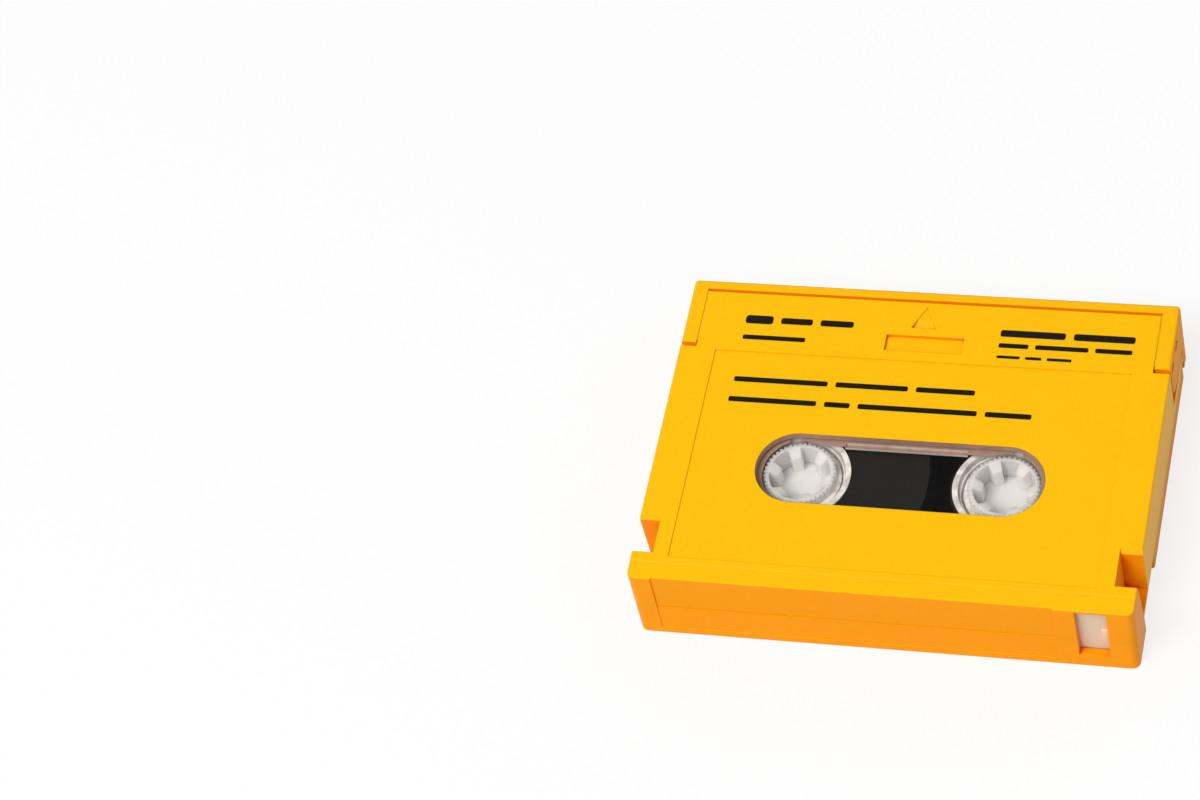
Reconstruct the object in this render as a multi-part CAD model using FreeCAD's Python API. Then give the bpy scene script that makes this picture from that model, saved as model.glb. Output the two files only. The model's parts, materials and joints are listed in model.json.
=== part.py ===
import FreeCAD, Part
import math
import os

# Data tape cartridge: two shell halves, a hinged front lid, a sliding bottom shutter,
# two reels of 8 mm tape on drive hubs, a reel lock and a sliding write-protect tab.
# Millimetres. X runs across the cartridge, +Y points at the lid, +Z up through the window.
# While a piece is drawn, Y is counted from the rear face; export_piece centres it.

Vector = FreeCAD.Vector
UP = Vector(0, 0, 1)
ACROSS = Vector(1, 0, 0)
NEAR_ZERO = 1e-4
BEYOND = 1.0                # how far a cutter runs past the face that it opens
BITE = 0.1                  # how far a fused piece runs into its neighbour

# case
shell_width = 73.0
shell_depth = 54.0
side_wall = 1.4
top_wall = 1.2
floor_wall = 1.2
parting_height = 6.4        # plane where the two halves meet
rear_corner_radius = 1.2
rear_lean = 0.62            # the rear face leans in by this much at the top
top_edge_radius = 0.3
bottom_edge_bevel = 0.12
rear_step_from_rear = 3.6   # behind it the top lies lower and falls towards the rear face
rear_step_drop = 0.12
rear_step_length = 0.15
rear_edge_drop = 0.15
seam_lip_height = 0.6       # lip of the lower half inside the upper half
seam_lip_wall = 0.6
seam_clearance = 0.05

# recesses moulded in the outside
label_side_margin = 5.5
label_from_rear = 4.6
label_lid_gap = 0.4
label_recess = 0.15
rear_panel_margin = 3.5
rear_panel_tab_gap = 3.0
rear_panel_bottom = 1.4
rear_panel_upper_recess = 0.2
rear_panel_lower_recess = 0.08
arrow_width = 3.7
arrow_length = 3.75
arrow_offset = -0.5
arrow_from_front = 6.7
arrow_break = 1.6           # the arrow's floor falls from here back to its base
arrow_tip_recess = 0.15
arrow_base_recess = 0.75
bar_mark_width = 11.6
bar_mark_length = 2.85
bar_mark_from_front = 11.0
bar_mark_recess = 0.6

# notches in both sides for a picker's fingers
notch_from_rear = 5.1
notch_length = 5.75
notch_depth = 3.2
notch_lean = 1.5            # the rear wall comes forward by this much at the notch's floor
notch_lip = 0.55
notch_web = 0.8             # floor of each notch

# window
window_width = 12.0
window_end_room = 0.2       # each end's arc lies this far outside its reel's axis
window_behind_reels = 0.4
pane_flange = 1.2
pane_flange_height = 0.6
pane_sink = 0.2             # pane's outer face below the top face
pane_clearance = 0.05
pane_rib_half_length = 9.0
pane_rib_width = 0.8
pane_rib_core_gap = 0.2

# front lid
lid_plate = 1.6
lid_leg = 2.4               # depth of the lid's corners, front to back
lid_arm = 2.35
lid_arm_tail = 4.2          # how far the arm runs behind the pivot
lid_arm_drop = 5.9          # how far the arm hangs below the pivot
lid_arm_gap = 0.35
lid_side_gap = 0.15
lid_front_gap = 0.3
lid_rear_gap = 0.7
lid_leg_gap = 0.4
lid_bottom = 1.2
lid_corner_radius = 0.6
lid_edge_radius = 0.5
lid_pivot_from_front = 7.4
lid_pivot_below_top = 1.7
lid_pin_radius = 0.6
lid_pin_length = 1.2
lid_pin_clearance = 0.05
tongue_edge_radius = 0.35
lid_mark_length = 1.9
lid_mark_height = 1.0
lid_mark_recess = 0.6
lid_mark_pitch = 4.0
lid_mark_from_front = 5.1
lid_mark_below_top = 1.1

# lid spring, a torsion coil round the left pin
lid_spring_wire = 0.3
lid_spring_pin_gap = 0.2
lid_spring_turns = 2.25
lid_spring_leg = 2.6
lid_pocket_gap = 0.1
lid_pocket_depth = 1.4

# bottom slider
slider_thickness = 0.8
slider_gap = 0.15
slider_from_rear = 17.0
slider_travel = 9.5
slider_side_inset = 0.1
slider_lip_wall = 0.7
slider_lip_height = 3.4
slider_hole_radius = 5.6
slider_rear_room = 0.9
slider_corner_radius = 0.5

# slider spring, in a slot in the floor
slot_width = 1.5
slot_bay_gap = 3.0
peg_length = 1.6
spring_wire = 0.25
spring_outer_radius = 0.52
spring_turns = 10
stations_per_turn = 8
spring_seat_gap = 0.05
spring_length = 16.0

# reels
reel_spacing = 30.0
reel_from_rear = 21.8
hub_radius = 5.3
hub_floor_gap = 0.15
hub_rise = 0.4              # hub's rim above the cores
hub_play = 0.1
hub_collar_radius = 4.75
hub_collar_height = 1.3
hub_bore_radius = 4.55
hub_spline_radius = 3.3
hub_spline_count = 6
hub_spline_angle = 24.0
hub_lead_in = 0.9           # slope on the splines' upper ends
hub_cup_depth = 4.1
hub_web_thickness = 1.1
left_hub_turn = 50.0
right_hub_turn = 56.0
rim_tooth_count = 44
rim_tooth_depth = 0.35
rim_tooth_height = 0.6
rim_tooth_root_share = 0.84  # of the pitch, at the tooth's root and at its tip
rim_tooth_tip_share = 0.44
core_radius = 7.5
core_wall = 0.8
core_inner_wall = 0.5
core_step_wall = 0.3
core_floor_gap = 0.25
core_rise = 0.3             # cores above the tape's upper edge
core_inner_drop = 1.2
core_step_drop = 2.2
core_web = 0.8
head_room = 1.3             # from the cores to the top wall
clamp_width = 2.2
clamp_rise = 0.05
clamp_gap = 0.2             # between the clamp and the core's inner ring
left_clamp_angle = 102.6
right_clamp_angle = 79.0

# tape
tape_width = 8.0
tape_floor_gap = 0.55
pack_room = 1.1             # from the full pack to the nearest wall
right_pack_thickness = 0.4
tape_thickness = 0.1        # drawn thicker than the real 0.007
pack_gap = 0.15
guide_from_side = 7.3
guide_from_front = 5.6
guide_radius = 1.4
guide_flange_radius = 2.0
guide_flange_height = 0.35
guide_tape_gap = 0.02

# slip sheets
liner_thickness = 0.1
liner_margin = 0.5
liner_tape_gap = 0.2
liner_hub_gap = 0.5
liner_core_gap = 0.7
liner_rib_width = 1.0
liner_rib_from_middle = 9.0

# front bay
bay_depth = 11.0
bay_inset = 3.0             # bay's sides inside the partition's ends
partition_wall = 1.2
partition_guide_gap = 0.2

# reel lock
lock_core_gap = 0.15
lock_ceiling_gap = 0.1
lock_arm_width = 2.4
lock_bar_from_rear = 7.0
lock_bar_depth = 5.0
lock_tip_gap = 0.15
lock_tip_length = 1.2
lock_rail_gap = 0.2
lock_rail_width = 1.0
lock_rail_length = 6.0
lock_spring_half_width = 7.0
lock_spring_thickness = 0.2
lock_spring_height = 0.8

# write-protect tab
tab_opening_from_side = 3.9
tab_opening_width = 4.5
tab_opening_above_floor = 0.35
tab_opening_below_top = 0.6
tab_thickness = 0.9
tab_overlap = 0.35
tab_clearance = 0.05
tab_guide_wall = 0.65
tab_grip_depth = 0.5
tab_grip_width = 1.0

# screws
rear_screw_from_side = 6.2
rear_screw_from_rear = 5.2
front_screw_inset = 2.5     # from the partition's end
post_radius = 1.4
post_gap = 0.4
screw_radius = 0.6
screw_head_radius = 1.1
screw_head_height = 0.6
screw_reach = 2.2           # how far a screw bites into the upper half
screw_sink = 0.1
screw_clearance = 0.1
driver_slot = 0.3

# datum sockets in the rear of the floor
datum_from_side = 14.5
datum_from_rear = 3.7
datum_radius = 1.5
datum_depth = 1.7

# heights, stacked from the floor to the top face
floor_under = slider_thickness + slider_gap
floor_top = floor_under + floor_wall
tape_bottom = floor_top + tape_floor_gap
tape_top = tape_bottom + tape_width
core_bottom = floor_top + core_floor_gap
core_top = tape_top + core_rise
core_inner_top = core_top - core_inner_drop
core_step_top = core_top - core_step_drop
ceiling = core_top + head_room
shell_height = ceiling + top_wall
hub_bottom = floor_under + hub_floor_gap
hub_top = core_top + hub_rise
hub_web_top = hub_top - hub_cup_depth
pane_top = shell_height - pane_sink
pane_rib_bottom = core_top + pane_rib_core_gap
upper_liner_height = tape_top + liner_tape_gap
lock_bottom = core_top + lock_core_gap
lock_top = ceiling - lock_ceiling_gap
lock_arm_top = ceiling - pane_flange_height - lock_ceiling_gap
lid_pivot_height = shell_height - lid_pivot_below_top
lid_arm_bottom = lid_pivot_height - lid_arm_drop
lid_notch_floor = lid_arm_bottom - lid_arm_gap
lid_mark_bottom = shell_height - lid_mark_below_top - lid_mark_height
notch_floor = slider_lip_height + slider_gap + notch_web
tab_opening_bottom = floor_top + tab_opening_above_floor
tab_opening_top = shell_height - tab_opening_below_top
screw_top = parting_height + screw_reach

# places from the rear face to the front
lid_pivot_from_rear = shell_depth - lid_pivot_from_front
lid_arm_start = lid_pivot_from_rear - lid_arm_tail
lid_notch_start = lid_arm_start - lid_rear_gap
lid_inner = shell_depth - lid_plate
lid_mark_front = shell_depth - lid_mark_from_front
tongue_front = lid_inner - lid_front_gap
side_front = shell_depth - lid_leg - lid_leg_gap
notch_end = notch_from_rear + notch_length
window_from_rear = reel_from_rear - window_behind_reels
label_end = lid_notch_start - label_lid_gap
arrow_base = shell_depth - arrow_from_front
bar_mark_start = shell_depth - bar_mark_from_front
bay_start = shell_depth - bay_depth
slot_front = bay_start - slot_bay_gap
guide_from_rear = shell_depth - guide_from_front
lock_bar_end = lock_bar_from_rear + lock_bar_depth
tab_front = side_wall + tab_clearance
tab_back = tab_front + tab_thickness

# places from the middle to the sides
half_width = shell_width / 2
tongue_half_width = half_width - lid_arm - lid_side_gap
slider_half_width = half_width - slider_side_inset
window_length = reel_spacing + window_width + 2 * window_end_room
label_half_width = half_width - label_side_margin
guide_x = half_width - guide_from_side
datum_x = half_width - datum_from_side
partition_half_width = guide_x - guide_flange_radius - partition_guide_gap
bay_half_width = partition_half_width - bay_inset
tab_opening_right = half_width - tab_opening_from_side
tab_opening_left = tab_opening_right - tab_opening_width
tab_left = tab_opening_left - tab_overlap
tab_right = tab_opening_right + tab_overlap
tab_travel = tab_opening_width - tab_grip_width - 2 * tab_clearance
rear_panel_left = rear_panel_margin - half_width
rear_panel_right = tab_opening_left - rear_panel_tab_gap

# reels, posts and slip sheets in the room that is left
side_room = half_width - side_wall - reel_spacing / 2
front_room = bay_start - partition_wall - reel_from_rear
rear_room = reel_from_rear - side_wall
left_pack_radius = min(side_room, front_room, rear_room) - pack_room
right_pack_radius = core_radius + right_pack_thickness
lid_spring_radius = lid_pin_radius + lid_spring_pin_gap + lid_spring_wire / 2
lid_pocket_radius = lid_spring_radius + lid_spring_wire / 2 + lid_pocket_gap
rear_screw = Vector(half_width - rear_screw_from_side, rear_screw_from_rear, 0)
front_screw = Vector(partition_half_width - front_screw_inset,
                     bay_start - partition_wall - post_radius - post_gap, 0)
liner_start = notch_end + side_wall + liner_margin
liner_end = front_screw.y - post_radius - liner_margin


def box(left, right, near, far, bottom, top):
    return Part.makeBox(right - left, far - near, top - bottom, Vector(left, near, bottom))


def mirrored_box(inner, outer, near, far, bottom, top):
    return box(inner, outer, near, far, bottom, top).fuse(box(-outer, -inner, near, far, bottom, top))


def cylinder(radius, bottom, top, x, y):
    return Part.makeCylinder(radius, top - bottom, Vector(x, y, bottom), UP)


def stadium(length, width, bottom, top, y):
    reach = (length - width) / 2
    shape = box(-reach, reach, y - width / 2, y + width / 2, bottom, top)
    for x in (-reach, reach):
        shape = shape.fuse(cylinder(width / 2, bottom, top, x, y))
    return shape.removeSplitter()


def fused(shapes):
    return shapes[0].multiFuse(shapes[1:]).removeSplitter()


def prism(points, bottom, top):
    face = Part.Face(Part.makePolygon([Vector(x, y, bottom) for x, y in points + points[:1]]))
    return face.extrude(Vector(0, 0, top - bottom))


def side_prism(points, left, right):
    face = Part.Face(Part.makePolygon([Vector(left, y, z) for y, z in points + points[:1]]))
    return face.extrude(Vector(right - left, 0, 0))


def edges_where(shape, test):
    return [edge for edge in shape.Edges if test(edge.BoundBox)]


def is_vertical(bounds):
    return bounds.XLength < NEAR_ZERO and bounds.YLength < NEAR_ZERO


def at_height(bounds, height):
    return abs(bounds.ZMin - height) < NEAR_ZERO and abs(bounds.ZMax - height) < NEAR_ZERO


def reel_x(side):
    return side * reel_spacing / 2


def rear_face(height):
    """Distance of the leaning rear face from the rear, at a height."""
    return rear_lean * (height - bottom_edge_bevel) / shell_height


def cartridge_block(bottom, top, front):
    """The case's outline with its leaning rear and round rear corners, before anything is cut."""
    block = side_prism([(rear_face(bottom), bottom), (front, bottom), (front, top),
                        (rear_face(top), top)],
                       -half_width, half_width)
    corners = edges_where(block, lambda b: b.XLength < NEAR_ZERO and b.YMax < rear_lean + NEAR_ZERO
                          and b.ZLength > NEAR_ZERO)
    return block.makeFillet(rear_corner_radius, corners)


def rear_panel(recess, bottom, top):
    """A shallow field in the rear face, at the same slope."""
    return side_prism([(-BEYOND, bottom), (rear_face(bottom) + recess, bottom),
                       (rear_face(top) + recess, top), (-BEYOND, top)],
                      rear_panel_left, rear_panel_right)


def finger_notches():
    """A notch in each side, whose rear wall slopes down and forward to its floor."""
    notch = side_prism(
        [
            (notch_from_rear + notch_lean, notch_floor),
            (notch_end, notch_floor),
            (notch_end, shell_height + BEYOND),
            (notch_from_rear, shell_height + BEYOND),
            (notch_from_rear, shell_height),
        ],
        half_width - notch_depth,
        half_width + BEYOND,
    )
    return notch.fuse(notch.mirror(Vector(), ACROSS))


def notch_lips():
    """A bevel on the front edge of each finger notch, at the top face."""
    inner = half_width - notch_depth
    wedge = side_prism(
        [
            (notch_end - BITE, shell_height - notch_lip),
            (notch_end, shell_height - notch_lip),
            (notch_end + notch_lip, shell_height),
            (notch_end + notch_lip, shell_height + BEYOND),
            (notch_end - BITE, shell_height + BEYOND),
        ],
        inner,
        half_width + BEYOND,
    )
    return wedge.fuse(wedge.mirror(Vector(), ACROSS))


def reel_chamber(bottom, top):
    """The room for the reels and the open bay in front of it."""
    notch_inner = half_width - notch_depth - side_wall
    return fused([
        mirrored_box(0, half_width - side_wall, notch_end + side_wall, lid_notch_start - side_wall,
                     bottom, top),
        mirrored_box(0, notch_inner, side_wall, notch_end + side_wall + BITE, bottom, top),
        mirrored_box(0, tongue_half_width - side_wall + lid_side_gap, lid_notch_start - side_wall - BITE,
                     shell_depth, bottom, top),
    ])


def partition(bottom, top):
    """The wall between the reel chamber and the loading bay."""
    return box(-partition_half_width, partition_half_width, bay_start - partition_wall, bay_start,
               bottom, top)


def screw_posts(bottom, top):
    return [
        cylinder(post_radius, bottom, top, side * spot.x, spot.y)
        for spot in (rear_screw, front_screw)
        for side in (-1, 1)
    ]


def tab_room():
    """The slot in which the write-protect tab slides along the rear wall."""
    return box(tab_left - tab_travel - tab_clearance, tab_right + tab_clearance,
               side_wall, tab_back + tab_clearance, floor_top, ceiling)


def tab_guide(bottom, top):
    """The inner wall that keeps the write-protect tab against the rear wall."""
    near = tab_back + tab_clearance
    return box(tab_left - tab_travel - tab_clearance, tab_right + tab_clearance,
               near, near + tab_guide_wall, bottom, top)


def tab_opening():
    return box(tab_opening_left, tab_opening_right, -BEYOND, side_wall,
               tab_opening_bottom, tab_opening_top)


def seam_lip(clearance):
    """A thin lip round the rear and sides of the chamber, standing on the parting plane."""
    inner = half_width - side_wall + clearance
    outer = inner - clearance + seam_lip_wall
    near = notch_end + side_wall
    far = lid_notch_start - side_wall
    lip = mirrored_box(half_width - side_wall, outer + clearance, near, far, parting_height,
                       parting_height + seam_lip_height + clearance)
    rear = box(-half_width + notch_depth + side_wall, tab_left - tab_travel - side_wall,
               side_wall - seam_lip_wall - clearance, side_wall,
               parting_height, parting_height + seam_lip_height + clearance)
    return lip.fuse(rear)


def make_upper_shell():
    block = cartridge_block(parting_height, shell_height, tongue_front)
    step_foot = rear_step_from_rear - rear_step_length
    slope = side_prism(
        [(-BEYOND, shell_height + BEYOND), (-BEYOND, shell_height - rear_edge_drop),
         (0, shell_height - rear_edge_drop), (step_foot, shell_height - rear_step_drop),
         (rear_step_from_rear, shell_height), (rear_step_from_rear, shell_height + BEYOND)],
        -half_width - BEYOND, half_width + BEYOND,
    )
    block = block.cut(slope)
    lowest_edge = shell_height - rear_edge_drop - NEAR_ZERO
    block = block.makeFillet(top_edge_radius, edges_where(
        block, lambda b: b.ZMin > lowest_edge and b.YMin < tongue_front - NEAR_ZERO
        and b.XLength < shell_width - NEAR_ZERO))
    block = block.cut(mirrored_box(tongue_half_width, half_width + BEYOND, lid_notch_start, shell_depth,
                                   0, shell_height + BEYOND))
    block = block.makeFillet(tongue_edge_radius, edges_where(
        block, lambda b: at_height(b, shell_height) and abs(b.YMin - tongue_front) < NEAR_ZERO
        and b.XLength > tongue_half_width))
    shell = block.cut(reel_chamber(0, ceiling))
    shell = fused([shell, partition(parting_height, ceiling), tab_guide(parting_height, ceiling)]
                  + screw_posts(parting_height, ceiling))
    shell = shell.cut(finger_notches()).cut(notch_lips())

    # window opening, label area, rear panel and the moulded marks by the lid
    shell = shell.cut(stadium(window_length, window_width, 0, shell_height + BEYOND, window_from_rear))
    label = box(-label_half_width, label_half_width, label_from_rear, label_end,
                shell_height - label_recess, shell_height + BEYOND)
    panel = rear_panel(rear_panel_upper_recess, parting_height - BEYOND, shell_height + BEYOND)
    arrow = prism([(arrow_offset - arrow_width / 2, arrow_base),
                   (arrow_offset + arrow_width / 2, arrow_base),
                   (arrow_offset, arrow_base + arrow_length)],
                  ceiling, shell_height + BEYOND)
    arrow = arrow.common(side_prism(
        [(arrow_base, shell_height - arrow_base_recess),
         (arrow_base + arrow_break, shell_height - arrow_tip_recess),
         (arrow_base + arrow_length, shell_height - arrow_tip_recess),
         (arrow_base + arrow_length, shell_height + BEYOND), (arrow_base, shell_height + BEYOND)],
        -arrow_width, arrow_width,
    ))
    bar_mark = box(-bar_mark_width / 2, bar_mark_width / 2,
                   bar_mark_start, bar_mark_start + bar_mark_length,
                   shell_height - bar_mark_recess, shell_height + BEYOND)
    shell = shell.cut(fused([label, panel, arrow, bar_mark]).fuse(tab_opening())).cut(tab_room())

    # ribs that hold the upper slip sheet down, rails for the reel lock
    ribs = []
    outer_rib = half_width - side_wall - liner_margin - liner_rib_width
    pane_front = window_from_rear + window_width / 2 + pane_flange
    for side in (-1, 1):
        for x, near, far in ((side * outer_rib, liner_start, window_from_rear),
                             (side * liner_rib_from_middle, pane_front + liner_margin, liner_end)):
            ribs.append(box(x - liner_rib_width / 2, x + liner_rib_width / 2, near, far,
                            upper_liner_height + liner_thickness, ceiling))
        rail = reel_x(side) + side * (lock_arm_width / 2 + lock_rail_gap + lock_rail_width / 2)
        ribs.append(box(rail - lock_rail_width / 2, rail + lock_rail_width / 2, lock_bar_from_rear,
                        lock_bar_from_rear + lock_rail_length, lock_bottom, ceiling))
    shell = fused([shell] + ribs)

    # pin holes for the lid, pilot holes for the screws, groove for the seam lip
    pin_hole = Part.makeCylinder(lid_pin_radius + lid_pin_clearance, shell_width,
                                 Vector(-half_width, lid_pivot_from_rear, lid_pivot_height), ACROSS)
    shell = shell.cut(pin_hole)
    for spot in (rear_screw, front_screw):
        for side in (-1, 1):
            shell = shell.cut(cylinder(screw_radius, 0, screw_top, side * spot.x, spot.y))
    shell = shell.cut(seam_lip(seam_clearance))
    return shell


def make_lower_shell():
    block = cartridge_block(0, parting_height, side_front)
    block = block.makeChamfer(bottom_edge_bevel, edges_where(
        block, lambda b: at_height(b, 0) and b.YMax < side_front - NEAR_ZERO))
    recess_start = slider_from_rear - slider_travel - slider_rear_room
    block = block.cut(box(-half_width - BEYOND, half_width + BEYOND, recess_start, shell_depth,
                          -BEYOND, floor_under))
    lip_room = slider_half_width - slider_lip_wall - slider_gap
    block = block.cut(mirrored_box(lip_room, half_width + BEYOND, recess_start, shell_depth,
                                   -BEYOND, slider_lip_height + slider_gap))
    block = block.cut(mirrored_box(tongue_half_width, half_width + BEYOND, lid_notch_start, shell_depth,
                                   lid_notch_floor, shell_height))
    shell = block.cut(reel_chamber(floor_top, shell_height))
    shell = fused([shell, partition(floor_under, parting_height), tab_guide(floor_under, parting_height)]
                  + screw_posts(floor_under, parting_height))
    shell = shell.cut(finger_notches())
    shell = shell.cut(box(-bay_half_width, bay_half_width, bay_start, shell_depth,
                          -BEYOND, floor_top + BITE))
    panel = rear_panel(rear_panel_lower_recess, rear_panel_bottom, shell_height)
    shell = shell.cut(panel).cut(tab_opening()).cut(tab_room())
    shell = shell.fuse(seam_lip(0)).removeSplitter()

    holes = [box(-slot_width / 2, slot_width / 2, slider_peg_y() - spring_length - spring_seat_gap,
                 slot_front, 0, floor_top + BITE)]
    for side in (-1, 1):
        holes.append(cylinder(hub_radius + hub_play, 0, floor_top + BITE, reel_x(side), reel_from_rear))
        holes.append(cylinder(datum_radius, -BEYOND, datum_depth, side * datum_x, datum_from_rear))
        for spot, face in ((rear_screw, 0), (front_screw, floor_under)):
            x = side * spot.x
            head_top = face + screw_sink + screw_head_height + screw_clearance
            holes.append(cylinder(screw_radius + screw_clearance, 0, shell_height, x, spot.y))
            holes.append(cylinder(screw_head_radius + screw_clearance, -BEYOND, head_top, x, spot.y))
    for hole in holes:
        shell = shell.cut(hole)
    return shell


def slider_peg_y():
    """Rear face of the slider's peg, which the slider spring pushes."""
    return slot_front - peg_length - spring_seat_gap


def make_window_pane():
    flange = stadium(window_length + 2 * pane_flange, window_width + 2 * pane_flange,
                     ceiling - pane_flange_height, ceiling, window_from_rear)
    raised = stadium(window_length - 2 * pane_clearance, window_width - 2 * pane_clearance,
                     ceiling - pane_flange_height, pane_top, window_from_rear)
    ribs = []
    for side in (-1, 1):
        outer = window_from_rear + side * (window_width / 2 - pane_clearance)
        inner = outer - side * pane_rib_width
        ribs.append(box(-pane_rib_half_length, pane_rib_half_length,
                        min(outer, inner), max(outer, inner),
                        pane_rib_bottom, ceiling - pane_flange_height / 2))
    return fused([flange, raised] + ribs)


def outside_swing(left, right):
    """Everything behind the pivot that would foul the case or the slider as the lid swings."""
    behind = box(left, right, 0, lid_pivot_from_rear, 0, shell_height)
    centre = Vector(left, lid_pivot_from_rear, lid_pivot_height)
    rear = lid_pivot_from_rear - lid_arm_start + lid_rear_gap / 2
    down = lid_pivot_height - lid_arm_bottom
    above = box(left, right, 0, lid_pivot_from_rear, lid_pivot_height, shell_height)
    upper = Part.makeCylinder(rear, right - left, centre, ACROSS).common(above)
    lower = Part.makeCylinder(down, right - left, centre, ACROSS).cut(above)
    return behind.cut(upper).cut(lower)


def make_front_lid():
    plate = box(-half_width, half_width, lid_inner, shell_depth, lid_bottom, shell_height)
    arm_inner = half_width - lid_arm
    arms = []
    for side in (-1, 1):
        left = min(side * arm_inner, side * half_width)
        right = max(side * arm_inner, side * half_width)
        leg = box(left, right, shell_depth - lid_leg, lid_inner + BITE, lid_bottom, shell_height)
        arm = box(left, right, lid_arm_start, lid_inner + BITE, lid_arm_bottom, shell_height)
        arms += [leg, arm.cut(outside_swing(left, right))]
    lid = fused([plate] + arms)
    lid = lid.makeFillet(lid_corner_radius, edges_where(
        lid, lambda b: is_vertical(b) and abs(b.YMin - shell_depth) < NEAR_ZERO))
    lid = lid.makeFillet(lid_edge_radius, edges_where(
        lid, lambda b: at_height(b, shell_height) and
        (abs(b.YMax - shell_depth) < NEAR_ZERO or abs(abs(b.XMin) - half_width) < NEAR_ZERO
         and abs(abs(b.XMax) - half_width) < NEAR_ZERO)))

    for side in (-1, 1):
        # moulded marks on the outside of each arm, then the pivot pin on its inside
        outer = side * half_width
        inner = side * (half_width - lid_mark_recess)
        for index in (0, 1):
            front = lid_mark_front - index * lid_mark_pitch
            lid = lid.cut(box(min(outer, inner), max(outer, inner), front - lid_mark_length, front,
                              lid_mark_bottom, lid_mark_bottom + lid_mark_height))
        if side < 0:
            lid = lid.cut(Part.makeCylinder(lid_pocket_radius, lid_pocket_depth,
                                            Vector(-arm_inner - lid_pocket_depth, lid_pivot_from_rear,
                                                   lid_pivot_height), ACROSS))
            leg_room = lid_spring_wire / 2 + spring_seat_gap
            leg_height = lid_pivot_height - lid_spring_radius
            lid = lid.cut(box(-arm_inner - lid_pocket_depth, -arm_inner,
                              lid_pivot_from_rear - lid_spring_leg - leg_room, lid_pivot_from_rear,
                              leg_height - leg_room, leg_height + leg_room))
        reach = lid_side_gap + lid_pin_length + lid_pocket_depth
        start = Vector(side * (arm_inner + lid_pocket_depth), lid_pivot_from_rear, lid_pivot_height)
        lid = lid.fuse(Part.makeCylinder(lid_pin_radius, reach, start, Vector(-side, 0, 0)))
    return lid.removeSplitter()


def coil(wire, radius, pitch, turns, leg):
    """A square wire wound about +Z from z = 0, with a straight leg along -Y before its first turn."""
    stations = []
    for index in range(round(turns * stations_per_turn) + 1):
        share = index / stations_per_turn
        angle = 2 * math.pi * share
        stations.append((angle, Vector(0, 0, pitch * share)))
    rings = []
    for angle, rise in stations:
        out = Vector(math.cos(angle), math.sin(angle), 0)
        centre = out * radius + rise
        rings.append([centre + out * (u * wire / 2) + UP * (v * wire / 2)
                      for u, v in ((-1, -1), (1, -1), (1, 1), (-1, 1))])
    if leg:
        rings.insert(0, [corner - Vector(0, leg, 0) for corner in rings[0]])
    faces = [rings[0][::-1], rings[-1]]
    for near, far in zip(rings, rings[1:]):
        for index in range(4):
            after = (index + 1) % 4
            faces.append([near[index], near[after], far[after]])
            faces.append([near[index], far[after], far[index]])
    polygons = [Part.Face(Part.makePolygon(corners + corners[:1])) for corners in faces]
    return Part.Solid(Part.Shell(polygons))


def make_lid_spring():
    """A torsion coil round the left pin, its leg in a groove of the lid's arm."""
    pitch = lid_spring_wire + spring_seat_gap
    spring = coil(lid_spring_wire, lid_spring_radius, pitch, lid_spring_turns, lid_spring_leg)
    spring.rotate(Vector(), Vector(0, 1, 0), 90)
    start = -(half_width - lid_arm) - lid_pocket_depth + lid_spring_wire / 2 + spring_seat_gap
    spring.translate(Vector(start, lid_pivot_from_rear, lid_pivot_height))
    return spring


def make_bottom_slider():
    plate = box(-slider_half_width, slider_half_width, slider_from_rear, side_front, 0, slider_thickness)
    lips = mirrored_box(slider_half_width - slider_lip_wall, slider_half_width,
                        slider_from_rear, side_front, 0, slider_lip_height)
    slider = fused([plate, lips])
    slider = slider.makeFillet(slider_corner_radius, edges_where(
        slider, lambda b: is_vertical(b) and abs(abs(b.XMin) - slider_half_width) < NEAR_ZERO))
    near = slider_peg_y()
    slider = slider.fuse(box(-slot_width / 2 + slider_gap, slot_width / 2 - slider_gap, near,
                             near + peg_length, slider_thickness, floor_top - slider_gap))
    for side in (-1, 1):
        slider = slider.cut(cylinder(slider_hole_radius, 0, slider_thickness, reel_x(side),
                                     reel_from_rear + slider_travel))
    return slider.removeSplitter()


def make_slider_spring():
    wire = spring_wire / 2
    pitch = (spring_length - spring_wire) / spring_turns
    spring = coil(spring_wire, spring_outer_radius - wire, pitch, spring_turns, 0)
    spring.rotate(Vector(), ACROSS, -90)
    height = floor_under + spring_outer_radius + spring_seat_gap
    spring.translate(Vector(0, slider_peg_y() - spring_length + wire, height))
    return spring


def splined_bore(bottom, top):
    """The hollow inside the hub: a round bore less the drive splines that stand in it."""
    bore = cylinder(hub_bore_radius, bottom, top, 0, 0)
    half = math.radians(hub_spline_angle / 2)
    spline = prism([(radius * math.cos(angle), radius * math.sin(angle))
                    for radius, angle in ((hub_spline_radius, -half), (hub_radius, -half),
                                          (hub_radius, half), (hub_spline_radius, half))],
                   bottom, top)
    for index in range(hub_spline_count):
        tooth = spline.copy()
        tooth.rotate(Vector(), UP, index * 360 / hub_spline_count)
        bore = bore.cut(tooth)
    return bore


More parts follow.
